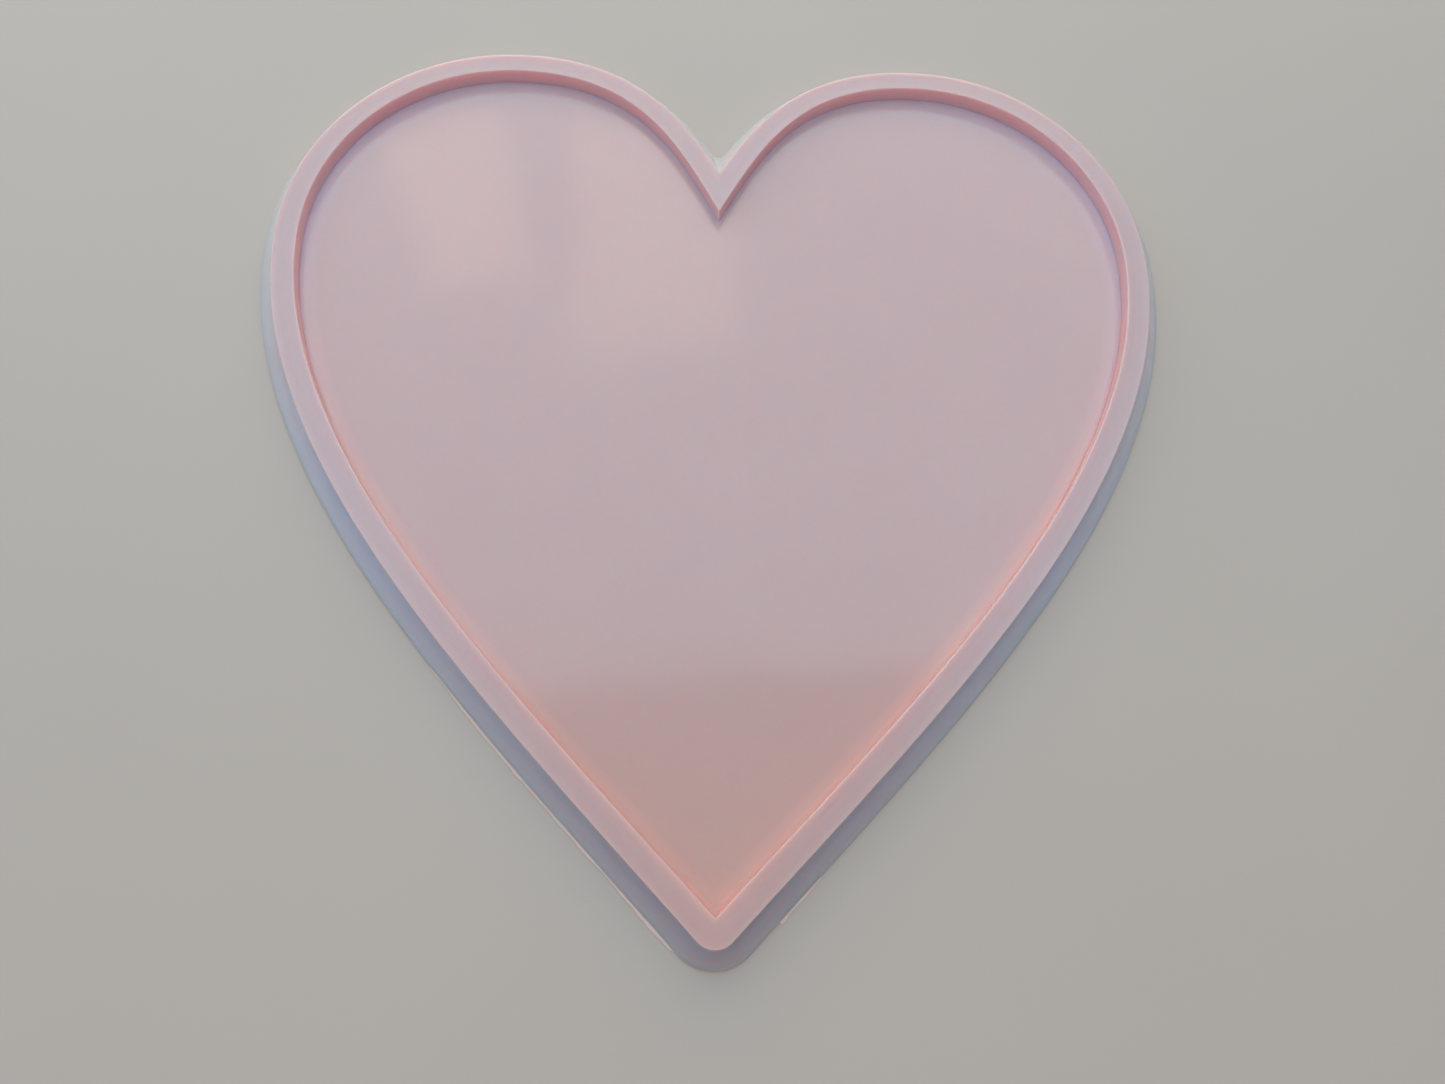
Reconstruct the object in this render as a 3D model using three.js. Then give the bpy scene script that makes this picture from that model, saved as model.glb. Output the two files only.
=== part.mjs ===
// Open silicone mould for casting a flat heart in resin, in millimetres with +Z up.
// The cavity opens upwards. The notch of the heart faces +Y and its tip faces -Y.
import * as THREE from 'three';

// Cavity, as the flat master sheet left it in the silicone
const cavityWidth = 300;
const cavityLength = 310;
const notchDepth = 64;
const cavityDepth = 6;
const cavityDraft = 0.2;
const cavityTipRadius = 0.6;
const notchTipRadius = 0.3;

// Rim round the cavity
const rimWidth = 8;
const rimLipRadius = 0.2;
const rimEdgeRadius = 0.5;
const rimTipRadius = 7;

// Base under the cavity, which flares out past the rim to a thin upright edge
const floorThickness = 3;
const baseSpread = 6;
const baseEdgeHeight = 0.8;
const baseNotchRadius = 2.6;
const flareTurn = 65;

// Feather of flash torn off along the base edge
const flashReach = 0.9;
const flashRootHeight = 0.5;
const flashTipHeight = 0.2;

// Heart outline: angles in degrees from the middle line, and handles as shares of the spans they cross
const notchHalfAngle = 27;
const tipHalfAngle = 43.8;
const lobePlaceShare = 0.512;
const sidePlaceShare = 0.253;
const notchHandleShare = 0.53;
const lobeInnerHandleShare = 0.6;
const lobeOuterHandleShare = 0.584;
const sideUpperHandleShare = 0.536;
const sideLowerHandleShare = 0.365;
const tipHandleShare = 0.407;

// Where each strip of flash runs, as shares of the way from the notch to the tip, and how far it
// reaches there, as shares of its full reach
const leftFlashStartShare = 0.774;
const leftFlashEndShare = 1;
const leftFlashReachShares = [0.3, 0.5, 0.7, 0.9, 1, 0.9, 0.95, 0.6, 0.85, 1, 0.9];
const rightFlashStartShare = 0.94;
const rightFlashEndShare = 0.976;
const rightFlashReachShares = [0.7, 1, 0.8, 1];

// Facets
const notchFacets = 3;
const sideFacets = 84;
const tipFacets = 5;
const flareFacets = 6;
const roundFacets = 3;

const rimHeight = floorThickness + cavityDepth;
const baseOffset = rimWidth + baseSpread;

const silicone = new THREE.MeshStandardMaterial({ color: 0xc6aeb5, roughness: 0.38, metalness: 0 });
const flashSilicone = new THREE.MeshStandardMaterial({ color: 0xcdbcc2, roughness: 0.5, metalness: 0 });

// A point given by its angle from the middle line, turned towards +X, and its distance
function away(angle, distance) {
  const radians = THREE.MathUtils.degToRad(angle);
  return new THREE.Vector2(Math.sin(radians) * distance, Math.cos(radians) * distance);
}

// Half of the cavity outline, pulled in by the tip radius so that offsetting it outwards rounds the
// tip and keeps the notch sharp. It runs from the notch over the +X lobe to the tip.
function makeHalfHeart() {
  const top = -cavityTipRadius;
  const side = cavityWidth / 2 - cavityTipRadius;
  const bottom = cavityTipRadius - cavityLength;
  const notchInset = cavityTipRadius / Math.sin(THREE.MathUtils.degToRad(notchHalfAngle));
  const notch = new THREE.Vector2(0, -notchDepth - notchInset);
  const lobe = new THREE.Vector2(side * lobePlaceShare, top);
  const flank = new THREE.Vector2(side, bottom * sidePlaceShare);
  const tip = new THREE.Vector2(0, bottom);
  const notchRise = lobe.y - notch.y;
  const lobeRun = flank.x - lobe.x;
  const lobeDrop = lobe.y - flank.y;
  const flankDrop = flank.y - tip.y;

  const half = new THREE.CurvePath();
  half.add(new THREE.CubicBezierCurve(
    notch,
    notch.clone().add(away(notchHalfAngle, notchRise * notchHandleShare)),
    new THREE.Vector2(lobe.x * (1 - lobeInnerHandleShare), lobe.y),
    lobe,
  ));
  half.add(new THREE.CubicBezierCurve(
    lobe,
    new THREE.Vector2(lobe.x + lobeRun * lobeOuterHandleShare, lobe.y),
    new THREE.Vector2(flank.x, flank.y + lobeDrop * sideUpperHandleShare),
    flank,
  ));
  half.add(new THREE.CubicBezierCurve(
    flank,
    new THREE.Vector2(flank.x, flank.y - flankDrop * sideLowerHandleShare),
    tip.clone().add(away(tipHalfAngle, flankDrop * tipHandleShare)),
    tip,
  ));
  return half;
}

const halfHeart = makeHalfHeart();

// A point of the half outline moved out from the cavity, at a share of the way from notch to tip
function offsetPoint(share, offset) {
  const along = halfHeart.getTangentAt(share);
  const outward = new THREE.Vector2(-along.y, along.x);
  return halfHeart.getPointAt(share).addScaledVector(outward, cavityTipRadius + offset);
}

// A radius that changes evenly over the flared base, from its value at the rim
function acrossBase(atRim, atBaseEdge, offset) {
  return THREE.MathUtils.lerp(atRim, atBaseEdge, (offset - rimWidth) / baseSpread);
}

// The radius of the notch at an offset: the same over the rim, and wider down the flare
function notchRadius(offset) {
  return offset > rimWidth ? acrossBase(notchTipRadius, baseNotchRadius, offset) : notchTipRadius;
}

// The radius of the tip at an offset: a little tighter than the sides' offset over the rim
function tipRadius(offset) {
  if (offset > rimWidth) {
    return acrossBase(rimTipRadius, cavityTipRadius + baseOffset, offset);
  }
  return THREE.MathUtils.lerp(cavityTipRadius, rimTipRadius, offset / rimWidth);
}

// The share at which the moved outline meets the middle line, where the two lobes join
function notchShare(offset) {
  let before = 0;
  let after = lobePlaceShare / 2;
  while (after - before > Number.EPSILON) {
    const middle = (before + after) / 2;
    if (offsetPoint(middle, offset).x > 0) {
      after = middle;
    } else {
      before = middle;
    }
  }
  return after;
}

// Points of an arc between two angles, without its last point
function arc(centre, radius, fromAngle, toAngle, facets) {
  const points = [];
  for (let facet = 0; facet < facets; facet += 1) {
    const angle = THREE.MathUtils.lerp(fromAngle, toAngle, facet / facets);
    points.push(centre.clone().add(away(angle, radius)));
  }
  return points;
}

// The +X half of the outline at an offset from the cavity: round the notch, along the side and
// round the tip. Its first and last points are on the middle line.
function halfOutline(offset) {
  const blunt = notchRadius(offset);
  const first = notchShare(offset + blunt);
  const notchMiddle = offsetPoint(first, offset + blunt);
  const sideStart = offsetPoint(first, offset).sub(notchMiddle);
  const startAngle = THREE.MathUtils.radToDeg(Math.atan2(sideStart.x, sideStart.y));
  notchMiddle.x = 0;
  const points = arc(notchMiddle, blunt, 180, startAngle, notchFacets);
  for (let facet = 0; facet < sideFacets; facet += 1) {
    points.push(offsetPoint(first + (1 - first) * (facet / sideFacets), offset));
  }

  const radius = tipRadius(offset);
  const tipMiddle = halfHeart.getPointAt(1);
  tipMiddle.y -= (cavityTipRadius + offset - radius) / Math.sin(THREE.MathUtils.degToRad(tipHalfAngle));
  points.push(...arc(tipMiddle, radius, 90 + tipHalfAngle, 180, tipFacets));
  points.push(new THREE.Vector2(0, tipMiddle.y - radius));
  points[0].x = 0;
  return points;
}

// The tray stands with the middle of its box on the origin
const boxMiddle = (halfOutline(baseOffset).at(-1).y + baseOffset) / 2;

// The whole outline at an offset, clockwise seen from above, starting at the notch
function outline(offset) {
  const right = halfOutline(offset);
  right.forEach((point) => {
    point.y -= boxMiddle;
  });
  const left = right.slice(1, -1).reverse().map((point) => new THREE.Vector2(-point.x, point.y));
  return [...right, ...left];
}

// The wall's cross-section: each step is an offset from the cavity's edge and a height. It runs from
// the underside out, up the flared wall, over the rim and down the cavity wall to the floor.
function makeSection() {
  const section = [];
  const step = (offset, height) => section.push({ offset, height });

  step(baseOffset, 0);
  step(baseOffset, baseEdgeHeight);
  const flareTop = rimHeight - rimEdgeRadius;
  const turn = THREE.MathUtils.degToRad(flareTurn);
  for (let facet = flareFacets - 1; facet >= 0; facet -= 1) {
    const angle = turn * (facet / flareFacets);
    const outShare = (1 - Math.cos(angle)) / (1 - Math.cos(turn));
    const downShare = Math.sin(angle) / Math.sin(turn);
    step(rimWidth + baseSpread * outShare, flareTop - (flareTop - baseEdgeHeight) * downShare);
  }
  for (let facet = 1; facet <= roundFacets; facet += 1) {
    const angle = (Math.PI / 2) * (facet / roundFacets);
    step(
      rimWidth - rimEdgeRadius * (1 - Math.cos(angle)),
      flareTop + rimEdgeRadius * Math.sin(angle),
    );
  }
  step(rimLipRadius, rimHeight);
  step(0, rimHeight - rimLipRadius);
  step(-cavityDraft, floorThickness);
  return section;
}

// A closed body through outlines stacked one on the next, capped at both ends
function loft(section) {
  const rings = section.map(({ offset, height }) => ({ points: outline(offset), height }));
  const count = rings[0].points.length;
  const positions = rings.flatMap(({ points, height }) => points.flatMap(({ x, y }) => [x, y, height]));
  const faces = [];
  for (let ring = 0; ring < rings.length - 1; ring += 1) {
    for (let place = 0; place < count; place += 1) {
      const next = (place + 1) % count;
      const here = ring * count;
      const above = here + count;
      faces.push(here + place, above + next, here + next);
      faces.push(here + place, above + place, above + next);
    }
  }
  faces.push(...cap(rings[0].points, 0, false));
  faces.push(...cap(rings[rings.length - 1].points, (rings.length - 1) * count, true));
  return bodyGeometry(positions, faces);
}

// The faces that close an outline, turned up or down
function cap(points, firstIndex, facesUp) {
  const triangles = THREE.ShapeUtils.triangulateShape(points, []);
  return triangles.flatMap(([a, b, c]) => {
    const turnsLeft = THREE.ShapeUtils.area([points[a], points[b], points[c]]) > 0;
    const corners = turnsLeft === facesUp ? [a, b, c] : [a, c, b];
    return corners.map((corner) => corner + firstIndex);
  });
}

function bodyGeometry(positions, faces) {
  const geometry = new THREE.BufferGeometry();
  geometry.setAttribute('position', new THREE.Float32BufferAttribute(positions, 3));
  geometry.setIndex(faces);
  geometry.computeVertexNormals();
  return geometry;
}

// The value part way along a list of evenly spaced values
function alongList(values, share) {
  const place = share * (values.length - 1);
  const index = Math.min(Math.floor(place), values.length - 2);
  return THREE.MathUtils.lerp(values[index], values[index + 1], place - index);
}

// A strip of flash whose root is seated on the facets of the upright base edge. Its section is a
// wedge that thins from the root to the torn edge. side is 1 for +X and -1 for -X.
function flashStrip(side, startShare, endShare, reachShares) {
  const root = outline(baseOffset);
  const first = notchFacets + Math.round(startShare * sideFacets);
  const last = notchFacets + Math.round(endShare * sideFacets);
  const positions = [];
  for (let facet = first; facet <= last; facet += 1) {
    const reach = flashReach * alongList(reachShares, (facet - first) / (last - first));
    const along = root[facet + 1].clone().sub(root[facet - 1]).normalize();
    const foot = root[facet];
    const edge = foot.clone().addScaledVector(new THREE.Vector2(-along.y, along.x), reach);
    positions.push(side * foot.x, foot.y, 0);
    positions.push(side * foot.x, foot.y, flashRootHeight);
    positions.push(side * edge.x, edge.y, flashTipHeight);
    positions.push(side * edge.x, edge.y, 0);
  }
  const sections = last - first + 1;
  const corners = positions.length / sections / 3;
  const faces = [];
  const face = (a, b, c) => faces.push(...(side > 0 ? [a, c, b] : [a, b, c]));
  for (let section = 0; section < sections - 1; section += 1) {
    const here = section * corners;
    const there = here + corners;
    for (let corner = 0; corner < corners; corner += 1) {
      const next = (corner + 1) % corners;
      face(here + corner, here + next, there + next);
      face(here + corner, there + next, there + corner);
    }
  }
  const end = (sections - 1) * corners;
  face(0, 2, 1);
  face(0, 3, 2);
  face(end, end + 1, end + 2);
  face(end, end + 2, end + 3);
  return bodyGeometry(positions, faces);
}

function part(name, geometry, material) {
  const mesh = new THREE.Mesh(geometry, material);
  mesh.name = name;
  return mesh;
}

const mould = new THREE.Group();
mould.add(part('mould_body', loft(makeSection()), silicone));
mould.add(part(
  'flash_left',
  flashStrip(-1, leftFlashStartShare, leftFlashEndShare, leftFlashReachShares),
  flashSilicone,
));
mould.add(part(
  'flash_right',
  flashStrip(1, rightFlashStartShare, rightFlashEndShare, rightFlashReachShares),
  flashSilicone,
));

export default mould;
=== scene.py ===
# %% [markdown]
# # A heart-shaped silicone casting mould
# The real object is one casting of pale pink silicone. Its maker poured silicone into a frame with
# flared sides, pressed a heart cut from clear sheet into it, and took both away when it had cured.
# Everything visible comes from that. The glossy floor is the print of the polished sheet, the wall
# is the print of its cut edge, the flared skirt is the print of the frame, and the rim between them
# set in the open.
#
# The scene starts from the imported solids. They fix every size, so this script only adds what a
# coarse solid lacks: fine curves, torn flash, and a material that lets light in.

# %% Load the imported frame
import math
import random

import bpy
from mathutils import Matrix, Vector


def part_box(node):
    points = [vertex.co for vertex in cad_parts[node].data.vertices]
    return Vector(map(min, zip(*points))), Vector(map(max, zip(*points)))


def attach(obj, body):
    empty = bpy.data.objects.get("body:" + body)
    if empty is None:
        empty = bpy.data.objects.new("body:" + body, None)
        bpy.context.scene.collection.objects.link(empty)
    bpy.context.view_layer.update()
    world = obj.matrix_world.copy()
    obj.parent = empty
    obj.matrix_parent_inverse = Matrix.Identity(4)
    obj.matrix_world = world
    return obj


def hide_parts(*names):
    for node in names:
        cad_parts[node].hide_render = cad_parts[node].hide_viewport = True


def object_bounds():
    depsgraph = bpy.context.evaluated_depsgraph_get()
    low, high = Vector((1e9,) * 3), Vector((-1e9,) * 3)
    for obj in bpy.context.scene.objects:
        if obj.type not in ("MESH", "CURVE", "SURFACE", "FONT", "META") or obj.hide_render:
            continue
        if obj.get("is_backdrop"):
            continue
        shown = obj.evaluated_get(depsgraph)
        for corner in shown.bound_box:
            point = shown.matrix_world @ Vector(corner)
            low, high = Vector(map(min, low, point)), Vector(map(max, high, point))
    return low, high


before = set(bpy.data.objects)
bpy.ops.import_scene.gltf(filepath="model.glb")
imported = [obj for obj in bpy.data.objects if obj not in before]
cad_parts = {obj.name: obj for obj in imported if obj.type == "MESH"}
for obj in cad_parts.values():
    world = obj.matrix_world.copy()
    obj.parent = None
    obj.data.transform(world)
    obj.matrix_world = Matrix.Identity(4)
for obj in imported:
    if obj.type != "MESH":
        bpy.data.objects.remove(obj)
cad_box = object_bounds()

print("nodes:", list(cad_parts))

# %% [markdown]
# ## Sizes
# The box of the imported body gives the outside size. The other numbers are the real ones in
# millimetres, the same as those the solids were made from. A main piece that follows a rule is
# best described by such numbers and rebuilt, because scaling a finished mesh would also thicken
# its walls.

# %% Sizes in millimetres
MM = 0.001
low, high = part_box("mould_body")
BODY_WIDTH = (high.x - low.x) / MM
BODY_LENGTH = (high.y - low.y) / MM
BODY_HEIGHT = (high.z - low.z) / MM

CAVITY_DEPTH = 6
CAVITY_DRAFT = 0.2
RIM_WIDTH = 8
SKIRT_SPREAD = 6
SKIRT_EDGE = 0.8
BASE_OFFSET = RIM_WIDTH + SKIRT_SPREAD
FLOOR_HEIGHT = BODY_HEIGHT - CAVITY_DEPTH
CAVITY_WIDTH = 300
CAVITY_LENGTH = 310
NOTCH_DEPTH = 64
TIP_RADIUS = 0.6
RIM_TIP_RADIUS = 7
NOTCH_RADIUS = 0.3
FOOT_NOTCH_RADIUS = 2.6
print(f"body {BODY_WIDTH:.1f} x {BODY_LENGTH:.1f} x {BODY_HEIGHT:.1f} mm")

# %% [markdown]
# ## One helper for nodes
# Shader trees and geometry trees are built the same way, so one small function serves both. It adds
# a node, changes its settings, and fills its inputs. An input may be a plain value, another node
# (then its first output is linked) or one chosen output.

# %% Node helper
def add(tree, kind, inputs=None, **settings):
    node = tree.nodes.new(kind)
    for name, value in settings.items():
        setattr(node, name, value)
    for key, value in (inputs or {}).items():
        if isinstance(value, bpy.types.Node):
            value = value.outputs[0]
        if isinstance(value, bpy.types.NodeSocket):
            tree.links.new(value, node.inputs[key])
        else:
            node.inputs[key].default_value = value
    return node


# %% [markdown]
# ## The outline: half a heart
# Every edge of the mould runs at a fixed distance from one curve, so that curve is made once, as a
# Bezier spline from the notch over the right lobe to the tip. It is pulled in by the tip radius.
# Moving it outwards then keeps the notch sharp and rounds the tip, as on the real mould. A traced
# polygon would be quicker, but its corners would show along the glossy edges.

# %% Half heart curve
NOTCH_ANGLE = math.radians(27)
TIP_ANGLE = math.radians(43.8)


def away(angle, distance):
    """A step at an angle from the middle line, turned towards +X."""
    return (math.sin(angle) * distance, math.cos(angle) * distance)


def plus(point, step):
    return (point[0] + step[0], point[1] + step[1])


def half_heart_points():
    """Each Bezier point as (handle before, point, handle after), with the lobe's top at y 0."""
    top = -TIP_RADIUS
    side = CAVITY_WIDTH / 2 - TIP_RADIUS
    bottom = TIP_RADIUS - CAVITY_LENGTH
    notch = (0, -NOTCH_DEPTH - TIP_RADIUS / math.sin(NOTCH_ANGLE))
    lobe = (side * 0.512, top)
    flank = (side, bottom * 0.253)
    tip = (0, bottom)
    rise = lobe[1] - notch[1]
    drop = lobe[1] - flank[1]
    fall = flank[1] - tip[1]
    run = flank[0] - lobe[0]
    return [
        (notch, notch, plus(notch, away(NOTCH_ANGLE, rise * 0.53))),
        ((lobe[0] * 0.4, top), lobe, (lobe[0] + run * 0.584, top)),
        ((side, flank[1] + drop * 0.536), flank, (side, flank[1] - fall * 0.365)),
        (plus(tip, away(TIP_ANGLE, fall * 0.407)), tip, tip),
    ]


CENTRE_SHIFT = CAVITY_LENGTH / 2
curve_data = bpy.data.curves.new("half heart", "CURVE")
curve_data.dimensions = "3D"
curve_data.resolution_u = 240
spline = curve_data.splines.new("BEZIER")
spline.bezier_points.add(3)
for bezier, (before, point, after) in zip(spline.bezier_points, half_heart_points()):
    bezier.handle_left_type = bezier.handle_right_type = "FREE"
    bezier.handle_left, bezier.co, bezier.handle_right = (
        (x * MM, (y + CENTRE_SHIFT) * MM, 0) for x, y in (before, point, after)
    )
half_heart = bpy.data.objects.new("half heart", curve_data)
bpy.context.collection.objects.link(half_heart)
print(f"half heart: {spline.calc_length() / MM:.1f} mm long")

# %% [markdown]
# ## The section: what the outline carries
# A mould poured round a flat master has the same cross-section everywhere. It is written here as a
# list of rings, each with its offset from the cavity's edge and its height. Five more numbers ride
# along: how far the ring is drawn in to the middle, how polished the surface is, how much painted
# light and shade the skirt gets, how much painted glow and shade the wall and the corner at its
# foot get, and how much the edge wanders. Two more are worked out from the offset: the radius of
# the ring's notch, which widens down the skirt, and that of its tip. A mesh of loose points holds
# the list, because a geometry tree can read those.
#
# The list runs up from the middle of the underside, over the rim and down to the middle of the
# cavity floor. The rim gets a bead of 0.12 mm along both edges. Silicone creeps up the master and
# the frame before it sets, and the two low beads make the flat rim catch a soft line of light.

# %% Wall section
EDGE_ROUND = 0.4
FOOT_EASE = 0.2
BEAD = 0.12
WANDER = 0.35
SKIRT_SHADING_FADE = 0.75
POLISHED = 1.0
BOARD_PRINT = 0.7
SATIN = 0.45
CUT_EDGE = 0.25
AS_CAST = 0.1
rings = []


def across_skirt(at_rim, at_foot, offset):
    return at_rim + (at_foot - at_rim) * (offset - RIM_WIDTH) / SKIRT_SPREAD


def notch_round(offset):
    if offset > RIM_WIDTH:
        return across_skirt(NOTCH_RADIUS, FOOT_NOTCH_RADIUS, offset)
    return NOTCH_RADIUS


def tip_round(offset):
    if offset > RIM_WIDTH:
        return across_skirt(RIM_TIP_RADIUS, TIP_RADIUS + BASE_OFFSET, offset)
    return TIP_RADIUS + (RIM_TIP_RADIUS - TIP_RADIUS) * offset / RIM_WIDTH


def ring(offset, height, inward=0.0, polish=AS_CAST, lavender=0.0, rosy=0.0, wander=0.0):
    rounds = (notch_round(offset) * MM, tip_round(offset) * MM)
    rings.append((offset, height, inward, polish, lavender, rosy, wander, *rounds))


# The underside and the upright edge at the foot of the skirt.
for inward in (1, 0.75, 0.45, 0.2, 0.06, 0.015):
    ring(BASE_OFFSET - FOOT_EASE, 0, inward, polish=BOARD_PRINT)
ring(BASE_OFFSET - FOOT_EASE, 0, polish=BOARD_PRINT, wander=WANDER)
# The upright edge takes a little of the skirt's painted shading.
for inset, height in ((0.05, 0.05), (0, 0.2), (0, 0.6), (0.07, 0.75), (0.25, 0.82)):
    ring(BASE_OFFSET - inset, height, lavender=0.2, wander=WANDER)

# The flared skirt: a concave arc that starts steep under the rim and runs out at the foot.
SKIRT_TURN = math.radians(65)
SKIRT_STEPS = 14
skirt_top = BODY_HEIGHT - EDGE_ROUND
# The skirt carries painted light and shade, strongest under the rim and fading towards the foot.
for step in range(SKIRT_STEPS - 1, -1, -1):
    angle = SKIRT_TURN * step / SKIRT_STEPS
    out = (1 - math.cos(angle)) / (1 - math.cos(SKIRT_TURN))
    down = math.sin(angle) / math.sin(SKIRT_TURN)
    height = skirt_top - (skirt_top - SKIRT_EDGE) * down
    ring(
        RIM_WIDTH + SKIRT_SPREAD * out, height,
        lavender=1 - SKIRT_SHADING_FADE * out, wander=WANDER * out,
    )

# The rim: its rounded outer edge, the shallow dip between the two beads, and the lip.
for angle in (30, 60, 90):
    turned = math.radians(angle)
    inset = EDGE_ROUND * (1 - math.cos(turned))
    ring(RIM_WIDTH - inset, skirt_top + EDGE_ROUND * math.sin(turned))
for inset, lower in ((1.2, 0.5), (2.4, 1), (RIM_WIDTH / 2, 1)):
    ring(RIM_WIDTH - inset, BODY_HEIGHT - BEAD * lower, polish=SATIN)
for offset, lower in ((2.8, 1), (1.8, 0.7), (1.0, 0.25), (0.45, 0)):
    ring(offset, BODY_HEIGHT - BEAD * lower, polish=SATIN)
ring(0.12, BODY_HEIGHT - 0.04, polish=SATIN)

# The wall, the corner at its foot and the cavity floor.
# The wall and the corner at its foot carry painted glow and shade, which fades out over the first
# few millimetres of floor.
ring(0, BODY_HEIGHT - 0.2, polish=CUT_EDGE, rosy=0.5)
ring(-0.1, BODY_HEIGHT - CAVITY_DEPTH / 2, polish=CUT_EDGE, rosy=0.9)
ring(0.1 - CAVITY_DRAFT, FLOOR_HEIGHT + 0.15, polish=CUT_EDGE, rosy=1)
ring(-CAVITY_DRAFT, FLOOR_HEIGHT, polish=POLISHED, rosy=0.9)
for inward, rosy in ((0.004, 0.7), (0.02, 0.22)):
    ring(-CAVITY_DRAFT, FLOOR_HEIGHT, inward, polish=POLISHED, rosy=rosy)
for inward in (0.05, 0.1, 0.3, 0.6, 1):
    ring(-CAVITY_DRAFT, FLOOR_HEIGHT, inward, polish=POLISHED)

section_data = bpy.data.meshes.new("wall section")
section_data.from_pydata([(row[0] * MM, row[1] * MM, row[2]) for row in rings], [], [])
CARRIED = ("polish", "lavender", "rosy", "wander")
for column, name in enumerate((*CARRIED, "notch round", "tip round"), start=3):
    values = section_data.attributes.new(name, "FLOAT", "POINT").data
    values.foreach_set("value", [row[column] for row in rings])
wall_section = bpy.data.objects.new("wall section", section_data)
bpy.context.collection.objects.link(wall_section)
print("wall section:", len(rings), "rings")

# %% [markdown]
# ## Running a geometry tree
# A tree is a recipe, and its named inputs are the sizes that a maker would change. This helper
# makes an empty tree with such inputs. A second helper hangs the finished tree on an object, sets
# the inputs before the first evaluation, and turns the result into a plain mesh, which is what an
# export needs.

# %% Tree helpers
def new_tree(name, **sockets):
    tree = bpy.data.node_groups.new(name, "GeometryNodeTree")
    tree.interface.new_socket("Geometry", in_out="OUTPUT", socket_type="NodeSocketGeometry")
    for socket, kind in sockets.items():
        tree.interface.new_socket(
            socket.replace("_", " "), in_out="INPUT", socket_type="NodeSocket" + kind
        )
    return tree, add(tree, "NodeGroupInput").outputs


def grown(name, tree, **values):
    mesh = bpy.data.meshes.new(name)
    piece = bpy.data.objects.new(name, mesh)
    bpy.context.collection.objects.link(piece)
    modifier = piece.modifiers.new("grow", "NODES")
    modifier.node_group = tree
    for item in tree.interface.items_tree:
        key = item.name.replace(" ", "_")
        if item.in_out == "INPUT" and key in values:
            modifier[item.identifier] = values[key]
    depsgraph = bpy.context.evaluated_depsgraph_get()
    plain = bpy.data.meshes.new_from_object(piece.evaluated_get(depsgraph))
    piece.modifiers.clear()
    piece.data = plain
    plain.name = name
    bpy.data.meshes.remove(mesh)
    print(f"{name}: {len(plain.vertices)} points, {len(plain.polygons)} faces")
    return piece


# %% [markdown]
# ## Colours
# Colours are given as sRGB hex values, the way screens and paint charts give them. Blender
# mixes light with linear numbers, so every colour passes through one function.

# %% Hex to linear
def colour(code):
    channels = [int(code[i : i + 2], 16) / 255 for i in (1, 3, 5)]
    linear = [c / 12.92 if c <= 0.04045 else ((c + 0.055) / 1.055) ** 2.4 for c in channels]
    return (*linear, 1)


print("mid grey #808080 is", round(colour("#808080")[0], 3), "in linear light")

# %% [markdown]
# ## Material: platinum-cure silicone, cast
# Pigmented platinum silicone is a clear rubber with a little colour stirred in. Light goes a few
# millimetres into it and comes out again, reddest where it went furthest. That is why its shaded
# walls look rosy and not grey. Subsurface scattering does this, with a longer reach for red than
# for blue. How shiny it is depends on what it set against, so the polish that each ring carries
# drives the roughness: glossy on the floor, satin on the rim, duller on the walls. The bump has
# two scales: long swells in the floor, which bend the reflections, and fine ribs in the walls, the
# print of the saw in the edge of the master.
#
# The colour isn't even either, and it follows the place on the mould. The floor is thin over a
# flat bed and reads mauve, and towards the tip it is painted warmer, a painted glow of the light
# that leaks out where the two rims close in. The wall and the corner below it carry painted light:
# the wall a rosy glow of the light that the whole rim behind it lets through, the corner under the
# lobes' wall a lavender shade, and both, towards the tip, where the two sides come close, an
# orange glow. The skirt carries painted light and shade: lighter and pinker on the lobes, which
# face the light, lavender along the sides, and greyer and darker down to the tip, which lies in
# shade; thin silicone gives some of its cool tone. The rim is painted darker and warmer at the tip.
# Each of these is a mix by one of the ring's numbers and by the distance along the mould.

# %% Cast silicone
def new_material(name):
    material = bpy.data.materials.new(name)
    material.use_nodes = True
    tree = material.node_tree
    tree.nodes.clear()
    return material, tree


SILICONE_IOR = 1.41
SCATTER_REACH = 9 * MM
SCATTER_RADIUS = (1.0, 0.45, 0.35)
ROUGH_MATT, ROUGH_GLOSSY, ROUGH_SPREAD = 0.5, 0.1, 0.03

# Where a tint gives way to the next, as a distance from the middle towards the notch.
LOBES_END, SIDES_START = 90 * MM, -30 * MM
SIDES_END, TIP_START = -50 * MM, -160 * MM

# Real sizes of the patterns: clouds of pigment, finger marks, saw ribs and swells in the sheet.
CLOUD = 60 * MM
FINGER_MARK = 8 * MM
RIB_WIDTH, RIB_DEPTH, RIB_SQUEEZE = 0.9 * MM, 0.05 * MM, 0.04
SWELL_LENGTH, SWELL_HEIGHT = 70 * MM, 0.5 * MM


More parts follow.
